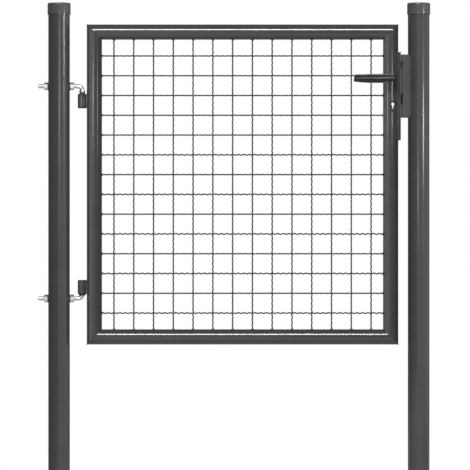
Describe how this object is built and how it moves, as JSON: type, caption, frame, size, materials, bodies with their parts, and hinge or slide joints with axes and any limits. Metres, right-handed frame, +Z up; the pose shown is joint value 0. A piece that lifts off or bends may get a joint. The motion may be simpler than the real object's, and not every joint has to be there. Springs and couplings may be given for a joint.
{
  "type": "garden gate",
  "caption": "Single-leaf tube-frame garden gate with crimped wire mesh, round posts, adjustable hook hinges, lever handle, latch and dead bolt.",
  "frame": {"origin": "centre of the hinge post's lower end, where the post goes into its footing", "axes": "+X from the hinge post to the latch post, +Z up the posts, -Y towards the side that the front lever faces"},
  "size_m": [1.0899, 0.128, 1.503],
  "materials": {
    "powder_coat": "semi-gloss anthracite powder coat",
    "cap_plastic": "satin",
    "zinc_plate": "bright zinc plate",
    "black_nylon": "matt",
    "lever_plastic": "fine satin",
    "blackened_steel": "blackened",
    "spring_steel": "oiled"
  },
  "bodies": {
    "posts": {"hinge_post": "powder_coat", "latch_post": "powder_coat", "hinge_post_cap": "cap_plastic", "latch_post_cap": "cap_plastic", "upper_hook_bolt": "zinc_plate", "lower_hook_bolt": "zinc_plate", "saddle_washers": "black_nylon", "hinge_nuts": "zinc_plate", "strike_channel": "powder_coat"},
    "leaf": {"top_rail": "powder_coat", "bottom_rail": "powder_coat", "hinge_stile": "powder_coat", "latch_stile": "powder_coat", "mesh_verticals": "powder_coat", "mesh_horizontals": "powder_coat", "upper_hinge_sleeve": "powder_coat", "lower_hinge_sleeve": "powder_coat", "upper_top_bush": "black_nylon", "upper_bottom_bush": "black_nylon", "lower_top_bush": "black_nylon", "lower_thrust_bush": "black_nylon", "lock_backing_bar": "powder_coat", "forend": "powder_coat", "forend_screws": "zinc_plate", "lock_case": "zinc_plate", "lock_cover": "zinc_plate", "key_insert": "blackened_steel", "cylinder_screw": "zinc_plate", "tumbler": "zinc_plate", "tumbler_spring": "spring_steel", "latch_spring": "spring_steel"},
    "handle": {"follower": "zinc_plate", "spindle": "zinc_plate", "front_lever": "lever_plastic", "back_lever": "lever_plastic", "lever_grub_screws": "zinc_plate"},
    "latch": {"latch_bolt": "blackened_steel"},
    "dead_bolt": {"dead_bolt": "blackened_steel"}
  },
  "joints": [
    {"name": "leaf_swing", "type": "hinge", "parent": "posts", "child": "leaf", "pos_m": [0.0645, 0, 0.553], "axis": [0, 0, 1], "range_deg": [-105, 105]},
    {"name": "handle_turn", "type": "hinge", "parent": "leaf", "child": "handle", "pos_m": [0.928, 0, 1.2935], "axis": [0, -1, 0], "range_deg": [0, 40], "stiffness_Nm_per_rad": 1.2, "springref_deg": -22.92},
    {"name": "latch_slide", "type": "slide", "parent": "leaf", "child": "latch", "axis": [-1, 0, 0], "range_m": [0, 0.012], "deforming": ["latch_spring"]},
    {"name": "dead_bolt_slide", "type": "slide", "parent": "leaf", "child": "dead_bolt", "axis": [1, 0, 0], "range_m": [0, 0.014]}
  ],
  "couplings": [
    {"joint": "latch_slide", "follows": "handle_turn", "m_per_rad": 0.01718}
  ]
}
